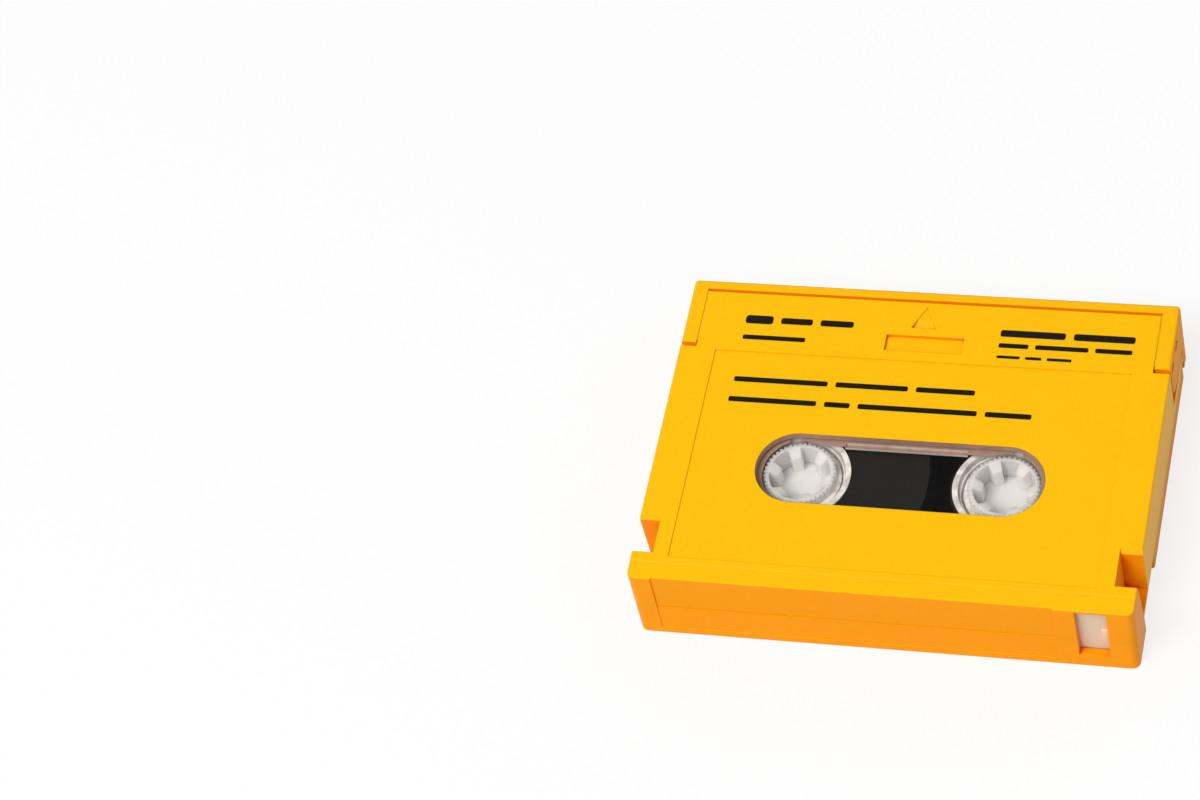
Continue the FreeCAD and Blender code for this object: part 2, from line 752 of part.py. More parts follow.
def make_hub(side, turn):
    """The white drive hub: splined cups above and below a web, fine lock teeth at its rim."""
    hub = cylinder(hub_radius - rim_tooth_depth, hub_bottom, hub_top, 0, 0)
    hub = hub.fuse(cylinder(hub_radius, hub_bottom, hub_top - rim_tooth_height, 0, 0)).removeSplitter()
    pitch = 2 * math.pi / rim_tooth_count
    root = hub_radius - rim_tooth_depth
    at_root = rim_tooth_root_share / 2
    at_tip = rim_tooth_tip_share / 2
    outline = []
    for index in range(rim_tooth_count):
        for share, radius in ((-at_root, root), (-at_tip, hub_radius),
                              (at_tip, hub_radius), (at_root, root)):
            angle = (index + share) * pitch
            outline.append((radius * math.cos(angle), radius * math.sin(angle)))
    hub = hub.fuse(prism(outline, hub_top - rim_tooth_height, hub_top)).removeSplitter()
    web_bottom = hub_web_top - hub_web_thickness
    collar_top = hub_bottom + hub_collar_height
    hub = hub.cut(splined_bore(hub_web_top, hub_top))
    hub = hub.cut(splined_bore(collar_top, web_bottom))
    hub = hub.cut(cylinder(hub_collar_radius, hub_bottom, collar_top, 0, 0))
    hub = hub.cut(Part.makeCone(hub_spline_radius, hub_bore_radius, hub_lead_in,
                                Vector(0, 0, hub_top - hub_lead_in), UP))
    hub.rotate(Vector(), UP, turn)
    hub.translate(Vector(reel_x(side), reel_from_rear, 0))
    return hub


def clamp_block(angle):
    """The block that holds the leader, set in a gap in the core's outer ring."""
    half = clamp_width / 2
    inner = hub_radius + core_inner_wall + clamp_gap
    block = box(inner, core_radius + BEYOND, -half, half, core_bottom + core_web, core_top + clamp_rise)
    block.rotate(Vector(), UP, angle)
    return block


def make_core(side, clamp_angle):
    """The clear reel core: an inner ring on the hub, a web and the ring that carries the tape."""
    outer = cylinder(core_radius, core_bottom, core_top, 0, 0)
    outer = outer.cut(cylinder(core_radius - core_wall, core_bottom, core_top, 0, 0))
    inner = cylinder(hub_radius + core_inner_wall, core_bottom, core_inner_top, 0, 0)
    web = cylinder(core_radius, core_bottom, core_bottom + core_web, 0, 0)
    step = cylinder(core_radius - core_wall, core_bottom, core_step_top, 0, 0)
    step_inside = core_radius - core_wall - core_step_wall
    step = step.cut(cylinder(step_inside, core_bottom, core_step_top, 0, 0))
    core = fused([outer, step, inner, web]).cut(cylinder(hub_radius, core_bottom, core_top, 0, 0))
    core = core.cut(clamp_block(clamp_angle))
    core.translate(Vector(reel_x(side), reel_from_rear, 0))
    return core


def make_clamp(side, clamp_angle):
    block = clamp_block(clamp_angle).common(cylinder(core_radius, 0, shell_height, 0, 0))
    block.translate(Vector(reel_x(side), reel_from_rear, 0))
    return block


def make_pack(side, radius):
    x = reel_x(side)
    pack = cylinder(radius, tape_bottom, tape_top, x, reel_from_rear)
    return pack.cut(cylinder(core_radius, tape_bottom, tape_top, x, reel_from_rear))


def tangent_normal(centre, radius, other, other_radius, side):
    """Unit normal of the line that touches both circles on their outer side."""
    across = other - centre
    spread = math.acos((radius - other_radius) / across.Length)
    angle = math.atan2(across.y, across.x) - side * spread
    return Vector(math.cos(angle), math.sin(angle), 0)


def make_tape_span():
    """The run of tape from the left pack round both guides to the right pack."""
    reels = {side: Vector(reel_x(side), reel_from_rear, tape_bottom) for side in (-1, 1)}
    guides = {side: Vector(side * guide_x, guide_from_rear, tape_bottom) for side in (-1, 1)}
    packs = {-1: left_pack_radius + pack_gap, 1: right_pack_radius + pack_gap}
    forward = Vector(0, 1, 0)

    def edge_points(offset):
        radius = guide_radius + guide_tape_gap + offset
        points = []
        for side in (-1, 1):
            normal = tangent_normal(reels[side], packs[side] + offset, guides[side], radius, side)
            middle = (normal + forward).normalize()
            run = [reels[side] + normal * (packs[side] + offset), guides[side] + normal * radius,
                   guides[side] + middle * radius, guides[side] + forward * radius]
            points += run if side < 0 else run[::-1]
        return points

    def long_edges(p):
        return [Part.LineSegment(p[0], p[1]).toShape(), Part.Arc(p[1], p[2], p[3]).toShape(),
                Part.LineSegment(p[3], p[4]).toShape(), Part.Arc(p[4], p[5], p[6]).toShape(),
                Part.LineSegment(p[6], p[7]).toShape()]

    inner = edge_points(0)
    outer = edge_points(tape_thickness)
    edges = long_edges(inner) + long_edges(outer)
    edges.append(Part.LineSegment(inner[0], outer[0]).toShape())
    edges.append(Part.LineSegment(inner[-1], outer[-1]).toShape())
    face = Part.Face(Part.Wire(Part.__sortEdges__(edges)))
    return face.extrude(Vector(0, 0, tape_width))


def make_guide(side):
    """A steel tape guide with a flange at each end, standing on the floor."""
    x = side * guide_x
    post = cylinder(guide_radius, floor_top, ceiling, x, guide_from_rear)
    low = cylinder(guide_flange_radius, floor_top, floor_top + guide_flange_height, x, guide_from_rear)
    high = cylinder(guide_flange_radius, ceiling - guide_flange_height, ceiling, x, guide_from_rear)
    return fused([post, low, high])


def make_lower_liner():
    notch_inner = half_width - notch_depth - side_wall
    top = floor_top + liner_thickness
    outer = half_width - side_wall - liner_margin
    sheet = box(-outer, outer, liner_start, liner_end, floor_top, top)
    rear = box(-notch_inner + liner_margin, notch_inner - liner_margin,
               rear_screw.y + post_radius + liner_margin, liner_start + BITE, floor_top, top)
    sheet = fused([sheet, rear])
    for side in (-1, 1):
        sheet = sheet.cut(cylinder(hub_radius + liner_hub_gap, floor_top, top,
                                   reel_x(side), reel_from_rear))
    return sheet


def make_upper_liner():
    outer = half_width - side_wall - liner_margin
    top = upper_liner_height + liner_thickness
    sheet = box(-outer, outer, liner_start, liner_end, upper_liner_height, top)
    hole_width = 2 * (core_radius + liner_core_gap)
    return sheet.cut(stadium(reel_spacing + hole_width, hole_width, 0, top, reel_from_rear))


def make_reel_lock():
    """A bar with two arms, each with a pointed tip that faces its hub's rim teeth."""
    half_bar = reel_x(1) + lock_arm_width / 2
    bar = box(-half_bar, half_bar, lock_bar_from_rear, lock_bar_end, lock_bottom, lock_top)
    tip = reel_from_rear - hub_radius - lock_tip_gap
    lock = [bar]
    for side in (-1, 1):
        x = reel_x(side)
        half = lock_arm_width / 2
        lock.append(prism([(x - half, lock_bar_end - BITE), (x + half, lock_bar_end - BITE),
                           (x + half, tip - lock_tip_length), (x, tip),
                           (x - half, tip - lock_tip_length)],
                          lock_bottom, lock_arm_top))
    return fused(lock)


def make_reel_lock_spring():
    """A bowed leaf between the rear wall and the lock's bar."""
    near = side_wall + spring_seat_gap
    far = lock_bar_from_rear - spring_seat_gap
    bottom = lock_top - lock_spring_height - spring_seat_gap

    def bow(inset):
        reach = lock_spring_half_width - inset
        return Part.Arc(Vector(-reach, near, bottom), Vector(0, far - inset, bottom),
                        Vector(reach, near, bottom)).toShape()

    ends = [Part.LineSegment(Vector(side * lock_spring_half_width, near, bottom),
                             Vector(side * (lock_spring_half_width - lock_spring_thickness), near,
                                    bottom)).toShape() for side in (-1, 1)]
    face = Part.Face(Part.Wire(Part.__sortEdges__([bow(0), bow(lock_spring_thickness)] + ends)))
    return face.extrude(Vector(0, 0, lock_spring_height))


def make_write_protect_tab():
    tab = box(tab_left, tab_right, tab_front, tab_back,
              floor_top + tab_clearance, ceiling - tab_clearance)
    middle = (floor_top + ceiling) / 2
    grip_left = tab_opening_right - tab_clearance - tab_grip_width
    grip = box(grip_left, grip_left + tab_grip_width, tab_front - tab_grip_depth, tab_front,
               middle - tab_grip_width, middle + tab_grip_width)
    return fused([tab, grip])


def make_case_screws():
    screws = []
    for spot, face in ((rear_screw, 0), (front_screw, floor_under)):
        for side in (-1, 1):
            x = side * spot.x
            head = face + screw_sink
            screw = cylinder(screw_head_radius, head, head + screw_head_height, x, spot.y)
            screw = screw.fuse(cylinder(screw_radius, head, screw_top, x, spot.y)).removeSplitter()
            screws.append(screw.cut(box(x - screw_head_radius, x + screw_head_radius,
                                        spot.y - driver_slot / 2, spot.y + driver_slot / 2,
                                        head, head + driver_slot)))
    return Part.makeCompound(screws)


def export_piece(name, shape):
    placed = shape.copy()
    placed.translate(Vector(0, -shell_depth / 2, 0))
    placed.exportStep(os.path.join("parts", name + ".step"))
    solids = len(placed.Solids)
    print(name, "solids", solids, "valid", placed.isValid(), "volume", round(placed.Volume, 2))


os.makedirs("parts", exist_ok=True)
pieces = {
    "upper_shell": make_upper_shell(),
    "lower_shell": make_lower_shell(),
    "window_pane": make_window_pane(),
    "front_lid": make_front_lid(),
    "lid_spring": make_lid_spring(),
    "bottom_slider": make_bottom_slider(),
    "slider_spring": make_slider_spring(),
    "left_hub": make_hub(-1, left_hub_turn),
    "right_hub": make_hub(1, right_hub_turn),
    "left_core": make_core(-1, left_clamp_angle),
    "right_core": make_core(1, right_clamp_angle),
    "left_leader_clamp": make_clamp(-1, left_clamp_angle),
    "right_leader_clamp": make_clamp(1, right_clamp_angle),
    "left_tape_pack": make_pack(-1, left_pack_radius),
    "right_tape_pack": make_pack(1, right_pack_radius),
    "tape_span": make_tape_span(),
    "left_tape_guide": make_guide(-1),
    "right_tape_guide": make_guide(1),
    "upper_liner": make_upper_liner(),
    "lower_liner": make_lower_liner(),
    "reel_lock": make_reel_lock(),
    "reel_lock_spring": make_reel_lock_spring(),
    "write_protect_tab": make_write_protect_tab(),
    "case_screws": make_case_screws(),
}
for name, shape in pieces.items():
    export_piece(name, shape)
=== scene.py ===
# %% [markdown]
# # A data tape cartridge
# The construction comes packed from CAD: every solid piece, at its real size, in metres.
# This script gives each piece its plastic, film or metal, adds a few fine pieces and the
# printing on the case, and sets up the floor, the lamp and the camera.

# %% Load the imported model
import json
import math

import bpy
from mathutils import Matrix, Vector

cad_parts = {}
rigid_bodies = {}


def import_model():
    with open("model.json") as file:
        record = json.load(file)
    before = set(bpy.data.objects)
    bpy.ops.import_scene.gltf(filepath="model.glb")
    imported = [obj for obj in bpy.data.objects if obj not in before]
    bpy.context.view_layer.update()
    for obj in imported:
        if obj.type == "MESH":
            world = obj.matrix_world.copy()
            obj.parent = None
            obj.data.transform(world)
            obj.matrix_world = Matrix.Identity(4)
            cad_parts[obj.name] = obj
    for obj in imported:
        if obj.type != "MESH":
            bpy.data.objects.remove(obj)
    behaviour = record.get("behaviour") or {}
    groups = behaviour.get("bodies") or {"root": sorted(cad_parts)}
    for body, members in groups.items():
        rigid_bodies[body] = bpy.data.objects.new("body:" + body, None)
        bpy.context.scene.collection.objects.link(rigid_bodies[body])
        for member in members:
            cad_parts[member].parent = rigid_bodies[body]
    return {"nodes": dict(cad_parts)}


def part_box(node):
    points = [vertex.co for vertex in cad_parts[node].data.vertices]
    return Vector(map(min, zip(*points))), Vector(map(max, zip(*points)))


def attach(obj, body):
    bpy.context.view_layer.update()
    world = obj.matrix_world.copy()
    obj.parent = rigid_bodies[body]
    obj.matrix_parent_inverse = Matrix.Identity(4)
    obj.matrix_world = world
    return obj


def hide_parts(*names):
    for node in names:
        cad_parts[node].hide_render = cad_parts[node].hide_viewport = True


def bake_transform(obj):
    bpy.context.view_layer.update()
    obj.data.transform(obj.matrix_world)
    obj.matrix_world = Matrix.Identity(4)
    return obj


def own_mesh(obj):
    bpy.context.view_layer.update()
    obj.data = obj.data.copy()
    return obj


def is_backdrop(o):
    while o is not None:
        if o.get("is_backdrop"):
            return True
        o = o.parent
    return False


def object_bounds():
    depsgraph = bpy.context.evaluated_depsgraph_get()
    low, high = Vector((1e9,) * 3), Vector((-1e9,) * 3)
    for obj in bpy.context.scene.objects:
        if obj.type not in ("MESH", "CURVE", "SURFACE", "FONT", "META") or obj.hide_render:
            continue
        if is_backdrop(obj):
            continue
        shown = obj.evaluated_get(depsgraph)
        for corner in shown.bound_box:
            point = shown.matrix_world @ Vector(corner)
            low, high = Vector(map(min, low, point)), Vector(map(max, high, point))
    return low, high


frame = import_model()
nodes = frame["nodes"]
cad_low, cad_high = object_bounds()
bpy.ops.object.select_all(action="DESELECT")
MM = 0.001
print("the cartridge measures", [round((b - a) / MM, 2) for a, b in zip(cad_low, cad_high)])

# %% [markdown]
# ## One helper for nodes and one for colours
# A material is a small graph. `add_node` puts one node in it, sets its values and joins its
# inputs, so each recipe below reads from top to bottom. Colours are written as hex values, as
# on a paint card, and `linear` turns them into the linear light that the renderer works in.

# %% Helpers


def linear(hex_colour, alpha=1.0):
    channels = [int(hex_colour[i:i + 2], 16) / 255 for i in (1, 3, 5)]
    light = [c / 12.92 if c <= 0.04045 else ((c + 0.055) / 1.055) ** 2.4 for c in channels]
    return (*light, alpha)


def add_node(tree, kind, values=None, links=None, **settings):
    node = tree.nodes.new(kind)
    for name, value in settings.items():
        setattr(node, name, value)
    for socket, value in (values or {}).items():
        node.inputs[socket].default_value = value
    for socket, source in (links or {}).items():
        tree.links.new(source, node.inputs[socket])
    return node


def new_material(name):
    material = bpy.data.materials.new(name)
    material.use_nodes = True
    material.node_tree.nodes.clear()
    return material, material.node_tree


def wear(material, *names):
    for name in names:
        piece = nodes[name]
        piece.data.materials.clear()
        piece.data.materials.append(material)


# %% [markdown]
# ## Masks from a piece's own shape
# Some finishes change from one face of a piece to the next. A mask is a number from 0 to 1 that
# says where. It is worked out from the piece's Object coordinates and its normal, so it stays in
# place when the piece moves.

# %% Masks


def unsigned(tree, source):
    return add_node(tree, "ShaderNodeMath", links={0: source},
                    operation="ABSOLUTE").outputs["Value"]


def minus(tree, source, amount):
    return add_node(tree, "ShaderNodeMath", {1: amount}, {0: source},
                    operation="SUBTRACT").outputs["Value"]


def both(tree, first, second, way):
    return add_node(tree, "ShaderNodeMath", links={0: first, 1: second},
                    operation=way).outputs["Value"]


def length(tree, x, y):
    pair = add_node(tree, "ShaderNodeCombineXYZ", links={"X": x, "Y": y})
    return add_node(tree, "ShaderNodeVectorMath", links={0: pair.outputs["Vector"]},
                    operation="LENGTH").outputs["Value"]


def step_up(tree, source, start, end):
    """0 until start, 1 from end on, either way round."""
    return add_node(tree, "ShaderNodeMapRange", {"From Min": start, "From Max": end},
                    {"Value": source}).outputs["Result"]


def squareness(tree, place, axis):
    """1 on a face square to the axis, 0 on a face along it."""
    normal = add_node(tree, "ShaderNodeSeparateXYZ", links={"Vector": place.outputs["Normal"]})
    return unsigned(tree, normal.outputs[axis])


# %% [markdown]
# ## ABS plastic for the case
# The case is injection moulded ABS, coloured right through. Its tool was spark eroded, which
# leaves a very fine grain, so highlights spread into a soft sheen instead of a mirror image.
# The real grain is about 0.03 mm, too fine to show here, so it is drawn at 0.2 mm. The Bevel
# node rounds the shading at every edge by 0.12 mm, as a mould does. Light and shade are painted
# into the colour, which follows the way that a face looks and its distance from mid height:
# level faces near the top and bottom are painted a lighter yellow, as painted light, and the
# walls a deeper orange, as painted shade. The two outer sides are painted nearly as yellow as
# the top, a painted sheen. Deep in a recess the colour is painted redder still, as painted
# shade: Ambient Occlusion, on the piece alone, says how deep.

# %% ABS plastic
GRAIN = 0.2 * MM
GRAIN_DEPTH = 0.01 * MM
EDGE_ROUNDING = 0.12 * MM
FLOW_PATCH = 9 * MM
MIDDLE_HEIGHT = (cad_low.z + cad_high.z) / 2
LIT_FACE_HEIGHTS = (4.6 * MM, 5.4 * MM)                             # distance from mid height
SHEEN_SIDES = (cad_high.x - 0.9 * MM, cad_high.x - 0.6 * MM)   # distance from the middle
AHEAD_OF_NOTCHES = (cad_low.y + 8 * MM, cad_low.y + 10 * MM)
RECESS_REACH = 12 * MM
RECESS_OPENNESS = (0.46, 0.2)
PAINTED_RECESS_SHADE = "#DA4E06"
ABS_GLOW_DEPTH = 0.8 * MM
ABS_GLOW = (1.0, 0.3, 0.03)


def moulded_abs(name, lit_face_colour, shaded_wall_colour, flow_colour, roughness, sheen_share):
    material, tree = new_material(name)
    place = add_node(tree, "ShaderNodeTexCoord")
    split = add_node(tree, "ShaderNodeSeparateXYZ", links={"Vector": place.outputs["Object"]})
    grain = add_node(tree, "ShaderNodeTexNoise", {"Scale": 1 / GRAIN, "Detail": 2.0},
                     {"Vector": place.outputs["Object"]})
    flow = add_node(tree, "ShaderNodeTexNoise", {"Scale": 1 / FLOW_PATCH, "Detail": 1.0},
                    {"Vector": place.outputs["Object"]})
    yellow = add_node(tree, "ShaderNodeMix", {"A": linear(lit_face_colour), "B": linear(flow_colour)},
                      {"Factor": flow.outputs["Fac"]}, data_type="RGBA")

    from_middle = unsigned(tree, minus(tree, split.outputs["Z"], MIDDLE_HEIGHT))
    # painted light: level faces near the top and bottom take the lighter yellow
    lit_face_mask = both(tree, step_up(tree, from_middle, *LIT_FACE_HEIGHTS),
                      step_up(tree, squareness(tree, place, "Z"), 0.3, 0.8), "MINIMUM")
    # painted sheen: the outer sides, ahead of the notches, are painted towards the yellow by the
    # share given for the sides
    side = both(tree, step_up(tree, unsigned(tree, split.outputs["X"]), *SHEEN_SIDES),
                step_up(tree, squareness(tree, place, "X"), 0.5, 0.9), "MINIMUM")
    side = both(tree, side, step_up(tree, split.outputs["Y"], *AHEAD_OF_NOTCHES), "MINIMUM")
    side = add_node(tree, "ShaderNodeMath", {1: sheen_share}, {0: side}, operation="MULTIPLY")
    # painted shade: the walls take the deeper orange; the painted-light faces and the painted sheen
    # take the yellow
    body = add_node(tree, "ShaderNodeMix", {"A": linear(shaded_wall_colour)}, {
        "Factor": both(tree, lit_face_mask, side.outputs["Value"], "MAXIMUM"),
        "B": yellow.outputs["Result"]}, data_type="RGBA")
    # painted shade: the deeper a place lies in a recess, the more it is painted a darker red
    openness = add_node(tree, "ShaderNodeAmbientOcclusion", {"Distance": RECESS_REACH},
                        samples=8, only_local=True)
    body = add_node(tree, "ShaderNodeMix", {"B": linear(PAINTED_RECESS_SHADE)}, {
        "Factor": step_up(tree, openness.outputs["AO"], *RECESS_OPENNESS),
        "A": body.outputs["Result"]}, data_type="RGBA")

    edge = add_node(tree, "ShaderNodeBevel", {"Radius": EDGE_ROUNDING}, samples=4)
    relief = add_node(tree, "ShaderNodeBump", {"Strength": 0.08, "Distance": GRAIN_DEPTH},
                      {"Height": grain.outputs["Fac"], "Normal": edge.outputs["Normal"]})
    sheen = add_node(tree, "ShaderNodeMapRange",
                     {"To Min": roughness - 0.04, "To Max": roughness + 0.04},
                     {"Value": grain.outputs["Fac"]})
    plastic = add_node(tree, "ShaderNodeBsdfPrincipled",
                       {"IOR": 1.16, "Subsurface Weight": 0.35, "Subsurface Radius": ABS_GLOW,
                        "Subsurface Scale": ABS_GLOW_DEPTH},
                       {"Base Color": body.outputs["Result"], "Roughness": sheen.outputs["Result"],
                        "Normal": relief.outputs["Normal"]})
    add_node(tree, "ShaderNodeOutputMaterial", links={"Surface": plastic.outputs["BSDF"]})
    return material


# the first colour is painted light on level faces, the second painted shade on the walls, the third
# a random flow tone
case_abs = moulded_abs("abs_case_yellow", "#FCBE0A", "#FF9C04", "#FBBB08",
                       roughness=0.42, sheen_share=0.8)
lid_abs = moulded_abs("abs_lid_yellow", "#FCBC0C", "#FF9C06", "#FBB80A",
                      roughness=0.5, sheen_share=0.15)
wear(case_abs, "upper_shell", "lower_shell")
wear(lid_abs, "front_lid", "bottom_slider")

# %% [markdown]
# ## Acetal for the hubs and the clamps
# The drive hubs are acetal, a slippery white plastic that lets a little light into its surface,
# so its shadows stay pale. Subsurface scattering over a few millimetres gives that milky look.
# The lock and the write-protect tab are pale mouldings with the same look.

# %% Acetal
MOTTLE = 0.6 * MM
MILK_DEPTH = 2.5 * MM
MILK_GLOW = (1.0, 0.95, 0.9)


def milky_plastic(name, colour, roughness):
    material, tree = new_material(name)
    place = add_node(tree, "ShaderNodeTexCoord")
    mottle = add_node(tree, "ShaderNodeTexNoise", {"Scale": 1 / MOTTLE, "Detail": 2.0},
                      {"Vector": place.outputs["Object"]})
    edge = add_node(tree, "ShaderNodeBevel", {"Radius": EDGE_ROUNDING}, samples=4)
    relief = add_node(tree, "ShaderNodeBump", {"Strength": 0.05, "Distance": GRAIN_DEPTH},
                      {"Height": mottle.outputs["Fac"], "Normal": edge.outputs["Normal"]})
    plastic = add_node(tree, "ShaderNodeBsdfPrincipled",
                       {"Base Color": linear(colour), "Roughness": roughness, "IOR": 1.3,
                        "Subsurface Weight": 1.0, "Subsurface Radius": MILK_GLOW,
                        "Subsurface Scale": MILK_DEPTH},
                       {"Normal": relief.outputs["Normal"]})
    add_node(tree, "ShaderNodeOutputMaterial", links={"Surface": plastic.outputs["BSDF"]})
    return material


wear(milky_plastic("acetal_white", "#EAE8E8", 0.42), "left_hub", "right_hub")
wear(milky_plastic("acetal_clamp", "#E4E0DE", 0.42), "left_leader_clamp", "right_leader_clamp")
wear(milky_plastic("acetal_lock", "#CFC8C0", 0.45), "reel_lock")
wear(milky_plastic("abs_tab_pale", "#FCCFB4", 0.42), "write_protect_tab")

# %% [markdown]
# ## Clear plastic
# The window and the reel cores are clear polystyrene, and the upper slip sheet is clear film.
# Light goes nearly straight through a thin clear sheet, so a Transparent shader stands for it,
# and Layer Weight decides how much of the surroundings its faces mirror. A Fresnel node would
# turn the inner side of a face into a full mirror at low angles, which thin sheet never is.
# The flat faces are polished. The walls, the ribs and the rim that lies on the slip sheet are
# frosted and painted a hazy brown, as painted shade of the case seen through them; the walls of
# the ribs are painted pale instead, as a painted highlight. Thick clear rings bend light at
# their edges into pale lines, so a milky plastic is mixed into the cores, painted pale and
# streaked at their upper edges as painted highlights and warm below as painted shade.

# %% Clear plastic
FACE_ON_MIRROR = 0.01
REEL_PITCH = 30 * MM
HUB_RADIUS = 5.3 * MM
PANE_UNDERSIDE = 11.7 * MM
WINDOW_HALF_LENGTH = 21.2 * MM
WINDOW_HALF_WIDTH = 6.0 * MM
RIM_WIDTH = 0.85 * MM
RIM_BLUR = 0.15 * MM
BESIDE_CLAMP = (0.7 * MM, 0.8 * MM)
WALL_SQUARENESS = (0.9, 0.5)
RIB_HEIGHTS = (PANE_UNDERSIDE - 0.02 * MM, PANE_UNDERSIDE - 0.06 * MM)
RIM_HEIGHTS = (PANE_UNDERSIDE + 0.3 * MM, PANE_UNDERSIDE + 0.1 * MM)
WINDOW_HAZE = 1.5 * MM
SHEET_HAZE = 3 * MM
CORE_STREAK = 1.3 * MM
hub_low, hub_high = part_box("left_hub")
REEL_LINE = (hub_low.y + hub_high.y) / 2
pane_low, pane_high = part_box("window_pane")
WINDOW_LINE = (pane_low.y + pane_high.y) / 2


def clear_surface(tree, tint, roughness, share, frosted_colour):
    """Polished clear plastic, and frosted plastic of a colour where share is 1."""
    through = add_node(tree, "ShaderNodeBsdfTransparent", {"Color": linear(tint)})
    mirror = add_node(tree, "ShaderNodeBsdfAnisotropic", {"Roughness": roughness})
    # the share that a face mirrors grows with the fifth power as it turns edge on
    turned = add_node(tree, "ShaderNodeLayerWeight", {"Blend": 0.5})
    edge_on = add_node(tree, "ShaderNodeMath", {1: 5.0}, {0: turned.outputs["Facing"]},
                       operation="POWER")
    mirrored = add_node(tree, "ShaderNodeMapRange", {"To Min": FACE_ON_MIRROR},
                        {"Value": edge_on.outputs["Value"]})
    polished = add_node(tree, "ShaderNodeMixShader", links={
        "Fac": mirrored.outputs["Result"], 1: through.outputs["BSDF"], 2: mirror.outputs["BSDF"]})
    frosted = add_node(tree, "ShaderNodeBsdfPrincipled", {"Roughness": 0.45, "IOR": 1.3},
                       {"Base Color": frosted_colour})
    surface = add_node(tree, "ShaderNodeMixShader", links={
        "Fac": share, 1: polished.outputs["Shader"], 2: frosted.outputs["BSDF"]})
    add_node(tree, "ShaderNodeOutputMaterial", links={"Surface": surface.outputs["Shader"]})


def window_rim(tree, split):
    """A band inside the window's outline, but not over a hub nor over the clamp beside it."""
    out = unsigned(tree, split.outputs["X"])
    past_end = add_node(tree, "ShaderNodeMath", {1: 0.0}, operation="MAXIMUM", links={
        0: minus(tree, out, WINDOW_HALF_LENGTH - WINDOW_HALF_WIDTH)}).outputs["Value"]
    from_spine = length(tree, past_end, minus(tree, split.outputs["Y"], WINDOW_LINE))
    from_hub = length(tree, minus(tree, out, REEL_PITCH / 2),
                      minus(tree, split.outputs["Y"], REEL_LINE))
    rim_start = WINDOW_HALF_WIDTH - RIM_WIDTH
    rim = both(tree, step_up(tree, from_spine, rim_start, rim_start + RIM_BLUR),
               step_up(tree, from_hub, HUB_RADIUS, HUB_RADIUS + RIM_BLUR), "MINIMUM")
    for clamp in ("left_leader_clamp", "right_leader_clamp"):
        clamp_low, clamp_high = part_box(clamp)
        aside = unsigned(tree, minus(tree, split.outputs["X"], (clamp_low.x + clamp_high.x) / 2))
        clear_of_clamp = both(
            tree, step_up(tree, aside, *BESIDE_CLAMP),
            step_up(tree, split.outputs["Y"], REEL_LINE + 0.1 * MM, REEL_LINE), "MAXIMUM")
        rim = both(tree, rim, clear_of_clamp, "MINIMUM")
    return rim


def window_plastic(name, shade_haze_colour, rib_highlight_colour):
    material, tree = new_material(name)
    place = add_node(tree, "ShaderNodeTexCoord")
    split = add_node(tree, "ShaderNodeSeparateXYZ", links={"Vector": place.outputs["Object"]})
    height = split.outputs["Z"]
    wall = step_up(tree, squareness(tree, place, "Z"), *WALL_SQUARENESS)
    ribs = step_up(tree, height, *RIB_HEIGHTS)
    rim = both(tree, window_rim(tree, split), step_up(tree, height, *RIM_HEIGHTS), "MINIMUM")
    share = both(tree, both(tree, wall, ribs, "MAXIMUM"), rim, "MAXIMUM")
    haze = add_node(tree, "ShaderNodeTexNoise", {"Scale": 1 / WINDOW_HAZE, "Detail": 2.0},
                    {"Vector": place.outputs["Object"]})
    share = both(tree, share, step_up(tree, haze.outputs["Fac"], -0.6, 0.5), "MULTIPLY")
    # painted shade in brown on the frosted faces; painted highlight in pale on the walls of the
    # ribs
    colour = add_node(tree, "ShaderNodeMix", {"A": linear(shade_haze_colour), "B": linear(rib_highlight_colour)},
                      {"Factor": both(tree, wall, ribs, "MINIMUM")}, data_type="RGBA")
    clear_surface(tree, "#FFFEFC", 0.05, share, colour.outputs["Result"])
    return material


def clear_sheet(name, tint, roughness, edge_colour, edge_share):
    material, tree = new_material(name)
    place = add_node(tree, "ShaderNodeTexCoord")
    low, high = WALL_SQUARENESS
    wall = add_node(tree, "ShaderNodeMapRange",
                    {"From Min": low, "From Max": high, "To Max": edge_share},
                    {"Value": squareness(tree, place, "Z")})
    haze = add_node(tree, "ShaderNodeTexNoise", {"Scale": 1 / SHEET_HAZE, "Detail": 1.0},
                    {"Vector": place.outputs["Object"]})
    edge = add_node(tree, "ShaderNodeMix", {"A": linear(edge_colour), "B": linear(tint)},
                    {"Factor": haze.outputs["Fac"]}, data_type="RGBA")
    clear_surface(tree, tint, roughness, wall.outputs["Result"], edge.outputs["Result"])
    return material


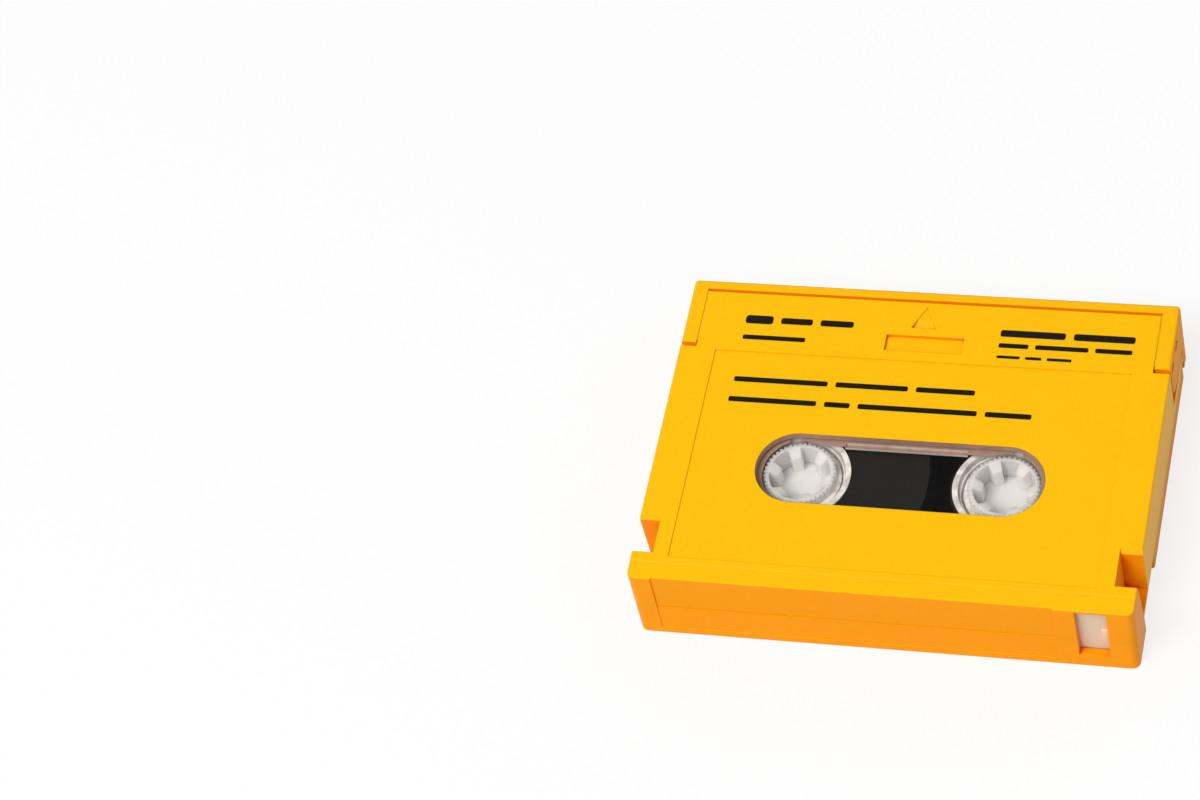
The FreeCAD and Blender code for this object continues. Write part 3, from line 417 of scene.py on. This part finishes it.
def core_plastic(name, floor_shade_colour, edge_highlight_colour, low_height, high_height):
    """Thick clear rings, painted warm near the floor of the case as painted shade, and painted pale
    and streaked at the upper edges as painted highlights.
    """
    material, tree = new_material(name)
    place = add_node(tree, "ShaderNodeTexCoord")
    split = add_node(tree, "ShaderNodeSeparateXYZ", links={"Vector": place.outputs["Object"]})
    height = add_node(tree, "ShaderNodeMapRange", {"From Min": low_height, "From Max": high_height},
                      {"Value": split.outputs["Z"]})
    colour = add_node(tree, "ShaderNodeMix", {"A": linear(floor_shade_colour), "B": linear(edge_highlight_colour)},
                      {"Factor": height.outputs["Result"]}, data_type="RGBA")
    streaks = add_node(tree, "ShaderNodeTexNoise", {"Scale": 1 / CORE_STREAK, "Detail": 1.0},
                       {"Vector": place.outputs["Object"]})
    # painted highlight streaks: how much of the painted colour covers the clear
    milk = add_node(tree, "ShaderNodeMapRange",
                    {"From Min": 0.35, "From Max": 0.65, "To Min": 0.6, "To Max": 0.97},
                    {"Value": streaks.outputs["Fac"]})
    through = add_node(tree, "ShaderNodeBsdfTransparent", {"Color": linear("#F4F0EE")})
    body = add_node(tree, "ShaderNodeBsdfPrincipled", {"Roughness": 0.15, "IOR": 1.5},
                    {"Base Color": colour.outputs["Result"]})
    surface = add_node(tree, "ShaderNodeMixShader", links={
        "Fac": milk.outputs["Result"], 1: through.outputs["BSDF"], 2: body.outputs["BSDF"]})
    add_node(tree, "ShaderNodeOutputMaterial", links={"Surface": surface.outputs["Shader"]})
    return material


core_low, core_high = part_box("left_core")
# the brown is painted shade, the pale colour a painted highlight
wear(window_plastic("polystyrene_window", "#A98A7C", "#E2D4CC"), "window_pane")
wear(clear_sheet("polyester_upper_sheet", "#F2E8E2", 0.2, "#C8B0A4", 0.3), "upper_liner")
# the warm colour is painted shade, the pale colour a painted highlight
clear_core = core_plastic("polystyrene_core", "#C8A898", "#FAF7F5",
                          core_low.z + 1 * MM, core_high.z - 1 * MM)
wear(clear_core, "left_core", "right_core")

# %% [markdown]
# ## Tape, film and metal
# Magnetic tape is polyester film with a dark coating. Wound on a reel its edges form a smooth
# black face with faint rings, one for each small change in tension. The lower slip sheet is
# given a near black colour. The guides and screws are turned steel, and the springs are drawn
# wire.

# %% Tape, film and metal
RING_PITCH = 0.5 * MM
WAVE_LENGTH = 0.31          # of a Wave texture whose scale is 1
FILM_HAZE = 2 * MM
TURNING_LINE = 0.4 * MM


def wound_tape(name, colour, centre):
    material, tree = new_material(name)
    place = add_node(tree, "ShaderNodeTexCoord")
    centred = add_node(tree, "ShaderNodeMapping", {"Location": (-centre.x, -centre.y, 0)},
                       {"Vector": place.outputs["Object"]})
    rings = add_node(tree, "ShaderNodeTexWave",
                     {"Scale": WAVE_LENGTH / RING_PITCH, "Distortion": 0.6, "Detail": 3.0},
                     {"Vector": centred.outputs["Vector"]},
                     wave_type="RINGS", rings_direction="Z")
    relief = add_node(tree, "ShaderNodeBump", {"Strength": 0.15, "Distance": GRAIN_DEPTH},
                      {"Height": rings.outputs["Fac"]})
    film = add_node(tree, "ShaderNodeBsdfPrincipled",
                    {"Base Color": linear(colour), "Roughness": 0.32, "IOR": 1.25},
                    {"Normal": relief.outputs["Normal"]})
    add_node(tree, "ShaderNodeOutputMaterial", links={"Surface": film.outputs["BSDF"]})
    return material


for side in ("left", "right"):
    low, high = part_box(side + "_hub")
    axis = (low + high) / 2
    wear(wound_tape("tape_pack_" + side, "#1A1917", axis), side + "_tape_pack")


def dark_film(name, colour, roughness):
    material, tree = new_material(name)
    place = add_node(tree, "ShaderNodeTexCoord")
    haze = add_node(tree, "ShaderNodeTexNoise", {"Scale": 1 / FILM_HAZE, "Detail": 2.0},
                    {"Vector": place.outputs["Object"]})
    sheen = add_node(tree, "ShaderNodeMapRange",
                     {"To Min": roughness - 0.05, "To Max": roughness + 0.05},
                     {"Value": haze.outputs["Fac"]})
    film = add_node(tree, "ShaderNodeBsdfPrincipled", {"Base Color": linear(colour), "IOR": 1.2},
                    {"Roughness": sheen.outputs["Result"]})
    add_node(tree, "ShaderNodeOutputMaterial", links={"Surface": film.outputs["BSDF"]})
    return material


wear(dark_film("tape_run", "#15110F", 0.25), "tape_span")
wear(dark_film("near_black_lower_sheet", "#0C0706", 0.5), "lower_liner")


def turned_steel(name, colour, roughness):
    material, tree = new_material(name)
    place = add_node(tree, "ShaderNodeTexCoord")
    stretched = add_node(tree, "ShaderNodeMapping", {"Scale": (1.0, 1.0, 12.0)},
                         {"Vector": place.outputs["Object"]})
    lines = add_node(tree, "ShaderNodeTexNoise", {"Scale": 1 / TURNING_LINE, "Detail": 3.0},
                     {"Vector": stretched.outputs["Vector"]})
    sheen = add_node(tree, "ShaderNodeMapRange",
                     {"To Min": roughness - 0.06, "To Max": roughness + 0.06},
                     {"Value": lines.outputs["Fac"]})
    metal = add_node(tree, "ShaderNodeBsdfPrincipled",
                     {"Base Color": linear(colour), "Metallic": 1.0},
                     {"Roughness": sheen.outputs["Result"]})
    add_node(tree, "ShaderNodeOutputMaterial", links={"Surface": metal.outputs["BSDF"]})
    return material


wear(turned_steel("steel_turned", "#C6C4C0", 0.25),
     "left_tape_guide", "right_tape_guide", "case_screws")
wear(turned_steel("steel_spring_wire", "#B0AEAA", 0.32),
     "lid_spring", "slider_spring", "reel_lock_spring")

# %% [markdown]
# ## Collars in the reel cores
# Each clear core has a collar of small steps between its hub and the ring that carries the tape.
# Their edges are the bright arcs beside each hub. A ring with steps could be spun from its
# section. Here a circle is extruded along the section instead, one loop at a time, and each loop
# is widened or narrowed to its radius, which keeps the ring in even quads.

# %% Helpers for new pieces
MERGE = 0.001 * MM


def clear_choice():
    if bpy.context.object and bpy.context.object.mode != "OBJECT":
        bpy.ops.object.mode_set(mode="OBJECT")
    bpy.ops.object.select_all(action="DESELECT")


def settle(piece):
    """Puts the piece's place into its mesh, so that its object stands at the origin."""
    bpy.ops.object.mode_set(mode="OBJECT")
    clear_choice()
    piece.select_set(True)
    bpy.context.view_layer.objects.active = piece
    bpy.ops.object.transform_apply(location=True, rotation=True, scale=True)


# %% Collars
COLLAR_SECTION = ((5.75, 9.0), (5.75, 9.75), (5.95, 9.75), (6.0, 8.7), (6.22, 8.7), (6.3, 9.95),
                  (6.5, 10.0), (6.55, 9.7), (6.75, 9.7), (6.75, 9.0))    # radius and height in mm
RING_SIDES = 96

for side in ("left", "right"):
    low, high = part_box(side + "_hub")
    centre = (low + high) / 2
    first_radius, first_height = COLLAR_SECTION[0]
    clear_choice()
    bpy.ops.mesh.primitive_circle_add(vertices=RING_SIDES, radius=first_radius * MM,
                                      location=(centre.x, centre.y, first_height * MM))
    collar = bpy.context.object
    collar.name = side + "_core_collar"
    bpy.ops.object.mode_set(mode="EDIT")
    bpy.ops.mesh.select_mode(type="EDGE")
    bpy.ops.mesh.select_all(action="SELECT")
    for before, after in zip(COLLAR_SECTION, COLLAR_SECTION[1:] + COLLAR_SECTION[:1]):
        rise = (after[1] - before[1]) * MM
        wider = after[0] / before[0]
        bpy.ops.mesh.extrude_edges_move(TRANSFORM_OT_translate={"value": (0, 0, rise)})
        bpy.ops.transform.resize(value=(wider, wider, 1), center_override=(centre.x, centre.y, 0))
    bpy.ops.mesh.select_all(action="SELECT")
    bpy.ops.mesh.remove_doubles(threshold=MERGE)
    bpy.ops.mesh.normals_make_consistent(inside=False)
    settle(collar)
    bpy.ops.object.shade_smooth_by_angle(angle=math.radians(20))
    collar.data.materials.append(clear_core)
    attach(collar, side + "_reel")
    print(collar.name, len(collar.data.polygons), "faces")

# %% [markdown]
# ## Springs
# The shutter's coil spring and the lock's leaf spring are squeezed against the rear wall when
# the shutter opens; here each is only given a mesh of its own. The lid's spring twists as the
# lid turns. A CAD node can't twist; a copy of it stands in its place, unbent, with its loose
# corners merged, and the node is hidden.

# %% Springs
for spring, joint in (("slider_spring", "slider_slide"), ("reel_lock_spring", "lock_slide")):
    low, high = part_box(spring)
    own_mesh(nodes[spring])

low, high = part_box("lid_spring")
clear_choice()
nodes["lid_spring"].select_set(True)
bpy.context.view_layer.objects.active = nodes["lid_spring"]
bpy.ops.object.duplicate()
lid_coil = bpy.context.object
lid_coil.name = "lid_coil_spring"
for label in list(lid_coil.keys()):      # the node's own labels, which its copy can't keep
    del lid_coil[label]
bpy.ops.object.parent_clear(type="CLEAR_KEEP_TRANSFORM")
bpy.ops.object.mode_set(mode="EDIT")
bpy.ops.mesh.select_all(action="SELECT")
bpy.ops.mesh.remove_doubles(threshold=MERGE)
settle(lid_coil)
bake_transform(lid_coil)
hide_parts("lid_spring")
print(lid_coil.name, len(lid_coil.data.polygons), "faces")

# %% [markdown]
# ## Light stops beside the lid's arms
# The lid's arms swing in a gap 0.15 mm wide. A thin tongue on each arm closes that gap, so that
# no black line shows beside the arm. It lies a little below the top face and turns with the lid,
# and since it stays within the gap's own width it never meets the case. Each one is a cube,
# drawn out to a strip, with its long edges bevelled.

# %% Light stops
ARM_WIDTH = 2.35 * MM
TONGUE_WIDTH = 0.145 * MM
TONGUE_HEIGHT = 0.5 * MM
TONGUE_BELOW_TOP = 0.1 * MM
TONGUE_BITE = 0.03 * MM
TONGUE_BEVEL = 0.02 * MM
TONGUE_FROM_FRONT = (11.0 * MM, 1.8 * MM)

lid_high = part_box("front_lid")[1]
tongue_start, tongue_end = [lid_high.y - back for back in TONGUE_FROM_FRONT]
strips = []
for way in (-1, 1):
    inner_face = way * (lid_high.x - ARM_WIDTH)
    clear_choice()
    bpy.ops.mesh.primitive_cube_add(size=1, location=(
        inner_face - way * (TONGUE_WIDTH - TONGUE_BITE) / 2, (tongue_start + tongue_end) / 2,
        lid_high.z - TONGUE_BELOW_TOP - TONGUE_HEIGHT / 2))
    strip = bpy.context.object
    bpy.ops.object.mode_set(mode="EDIT")
    bpy.ops.mesh.select_all(action="SELECT")
    bpy.ops.transform.resize(
        value=(TONGUE_WIDTH + TONGUE_BITE, tongue_end - tongue_start, TONGUE_HEIGHT))
    bpy.ops.mesh.bevel(offset=TONGUE_BEVEL, segments=2)
    settle(strip)
    strips.append(strip)
clear_choice()
for strip in strips:
    strip.select_set(True)
bpy.context.view_layer.objects.active = strips[0]
bpy.ops.object.join()
light_stops = bpy.context.object
light_stops.name = "lid_light_stops"
light_stops.data.materials.append(lid_abs)
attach(light_stops, "lid")
print(light_stops.name, len(light_stops.data.polygons), "faces")

# %% [markdown]
# ## Printing on the case
# The case is pad printed in black above its label area. The part is plain, so the printing is a
# set of bars, each as long as a word would be. Ink is a film that stands just proud of the
# plastic. A bar could be a decal in the case's material. As pieces of mesh the bars keep crisp
# ends: each is a plane with rounded corners, drawn up by the thickness of the ink.

# %% Printing
INK = 0.015 * MM
TOP_FACE = cad_high.z
LABEL_FACE = cad_high.z - 0.15 * MM
CORNER_SHARE = 0.3          # of a bar's height
INK_SPECKLE = 0.25 * MM
# left and right end, lower and upper edge in mm, and the face that each bar is printed on
BARS = (
    (-27.4, -23.2, 19.4, 20.9, TOP_FACE), (-22.0, -17.2, 19.6, 20.7, TOP_FACE),
    (-16.0, -11.0, 19.6, 20.7, TOP_FACE), (-27.3, -17.8, 16.5, 17.3, TOP_FACE),
    (11.0, 20.6, 19.6, 20.8, TOP_FACE), (21.8, 30.8, 19.6, 20.8, TOP_FACE),
    (11.0, 15.4, 17.6, 18.4, TOP_FACE), (16.4, 24.2, 17.6, 18.4, TOP_FACE),
    (25.2, 30.6, 17.6, 18.4, TOP_FACE), (11.0, 14.4, 15.7, 16.2, TOP_FACE),
    (15.2, 17.6, 15.7, 16.2, TOP_FACE), (18.4, 22.0, 15.7, 16.2, TOP_FACE),
    (-27.2, -13.1, 8.9, 9.8, LABEL_FACE), (-11.9, -1.1, 8.9, 9.8, LABEL_FACE),
    (0.1, 8.8, 8.9, 9.8, LABEL_FACE),
    (-27.4, -14.2, 5.3, 6.2, LABEL_FACE), (-13.0, -9.2, 5.3, 6.2, LABEL_FACE),
    (-8.0, 9.6, 5.3, 6.2, LABEL_FACE), (10.8, 17.6, 5.3, 6.2, LABEL_FACE),
)


def printed_bar(left, right, lower, upper, face):
    clear_choice()
    bpy.ops.mesh.primitive_plane_add(
        size=1, location=((left + right) / 2 * MM, (lower + upper) / 2 * MM, face))
    bar = bpy.context.object
    bpy.ops.object.mode_set(mode="EDIT")
    bpy.ops.mesh.select_all(action="SELECT")
    bpy.ops.transform.resize(value=((right - left) * MM, (upper - lower) * MM, 1))
    bpy.ops.mesh.bevel(offset=CORNER_SHARE * (upper - lower) * MM, segments=4, affect="VERTICES")
    bpy.ops.mesh.extrude_region_move(TRANSFORM_OT_translate={"value": (0, 0, INK)})
    bpy.ops.mesh.select_all(action="SELECT")
    bpy.ops.mesh.normals_make_consistent(inside=False)
    settle(bar)
    return bar


bars = [printed_bar(*bar) for bar in BARS]
clear_choice()
for bar in bars:
    bar.select_set(True)
bpy.context.view_layer.objects.active = bars[0]
bpy.ops.object.join()
printing = bpy.context.object
printing.name = "printed_bars"

ink, tree = new_material("pad_printing_black")
place = add_node(tree, "ShaderNodeTexCoord")
speckle = add_node(tree, "ShaderNodeTexNoise", {"Scale": 1 / INK_SPECKLE, "Detail": 2.0},
                   {"Vector": place.outputs["Object"]})
shade = add_node(tree, "ShaderNodeMix", {"A": linear("#15110C"), "B": linear("#221A0E")},
                 {"Factor": speckle.outputs["Fac"]}, data_type="RGBA")
film = add_node(tree, "ShaderNodeBsdfPrincipled", {"Roughness": 0.55, "IOR": 1.2},
                {"Base Color": shade.outputs["Result"]})
add_node(tree, "ShaderNodeOutputMaterial", links={"Surface": film.outputs["BSDF"]})
printing.data.materials.append(ink)
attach(printing, "shell")
print(printing.name, len(printing.data.polygons), "faces")

# %% [markdown]
# ## Floor, lamp and camera
# The cartridge lies on a plain pale floor. One large soft lamp stands high behind the viewer's
# left shoulder. The white surroundings and the light that the floor throws back fill the
# shadows. The floor glows where the camera or a reflection sees it, so that it shows as white
# paper and still keeps a faint shadow, while its light on the cartridge is that of real paper.

# %% Floor
FLOOR_GAP = 0.02 * MM        # the case stands on its grain, a hair above the paper
GLOW_SHARE = 0.8
bpy.ops.mesh.primitive_plane_add(size=6.0, location=(0, 0, cad_low.z - FLOOR_GAP))
floor = bpy.context.object
floor.name = "floor"
paper, tree = new_material("floor_paper")
paths = add_node(tree, "ShaderNodeLightPath")
glossy = add_node(tree, "ShaderNodeMath", operation="MAXIMUM",
                  links={0: paths.outputs["Is Camera Ray"], 1: paths.outputs["Is Glossy Ray"]})
looked_at = add_node(tree, "ShaderNodeMath", operation="MAXIMUM",
                     links={0: glossy.outputs["Value"], 1: paths.outputs["Is Transmission Ray"]})
grey = add_node(tree, "ShaderNodeBsdfDiffuse", {"Color": linear("#DADADA")})
pale = add_node(tree, "ShaderNodeBsdfDiffuse", {"Color": linear("#F0F0F0")})
glow = add_node(tree, "ShaderNodeEmission", {"Color": (1, 1, 1, 1), "Strength": 1.0})
lit_paper = add_node(tree, "ShaderNodeMixShader", {"Fac": GLOW_SHARE},
                     {1: pale.outputs["BSDF"], 2: glow.outputs["Emission"]})
sheet = add_node(tree, "ShaderNodeMixShader", links={
    "Fac": looked_at.outputs["Value"], 1: grey.outputs["BSDF"], 2: lit_paper.outputs["Shader"]})
add_node(tree, "ShaderNodeOutputMaterial", links={"Surface": sheet.outputs["Shader"]})
floor.data.materials.append(paper)
floor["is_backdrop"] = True

# %% Lamp and surroundings
KEY_PLACE = Vector((-0.32, -0.58, 1.06))
KEY_SIZE = 0.7
KEY_POWER = 12.2
ROOM_STRENGTH = 0.45

bpy.ops.object.light_add(type="AREA", location=KEY_PLACE)
lamp = bpy.context.object
lamp.name = "key_softbox"
lamp.data.shape = "DISK"
lamp.data.size = KEY_SIZE
lamp.data.energy = KEY_POWER
lamp.rotation_euler = (-KEY_PLACE).to_track_quat("-Z", "Y").to_euler()

world = bpy.data.worlds.new("white_room")
bpy.context.scene.world = world
world.use_nodes = True
tree = world.node_tree
tree.nodes.clear()
air = add_node(tree, "ShaderNodeBackground",
               {"Color": (1, 1, 1, 1), "Strength": ROOM_STRENGTH})
add_node(tree, "ShaderNodeOutputWorld", links={"Surface": air.outputs["Background"]})

# %% Camera
# A long lens looks down on the rear and the right side; its three axes are set as directions.
LENS = 118.67
CAMERA_PLACE = Vector((0.110116, -0.313046, 0.480963))
CAMERA_RIGHT = Vector((0.961645, 0.202156, -0.185394))
CAMERA_DOWN = Vector((0.060976, -0.816532, -0.574071))
CAMERA_FORWARD = Vector((-0.267432, 0.540748, -0.797541))

bpy.ops.object.camera_add()
camera = bpy.context.object
camera.name = "camera"
axes = Matrix((CAMERA_RIGHT, -CAMERA_DOWN, -CAMERA_FORWARD)).transposed()
camera.matrix_world = Matrix.Translation(CAMERA_PLACE) @ axes.to_4x4()
camera.data.lens = LENS
camera.data.sensor_width = 36.0
camera.data.clip_start = 0.01
bpy.context.scene.camera = camera
bpy.context.scene.view_settings.view_transform = "Standard"

# %% Write the sizes and finish
low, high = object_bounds()
print("the dressed cartridge measures", [round((b - a) / MM, 2) for a, b in zip(low, high)])
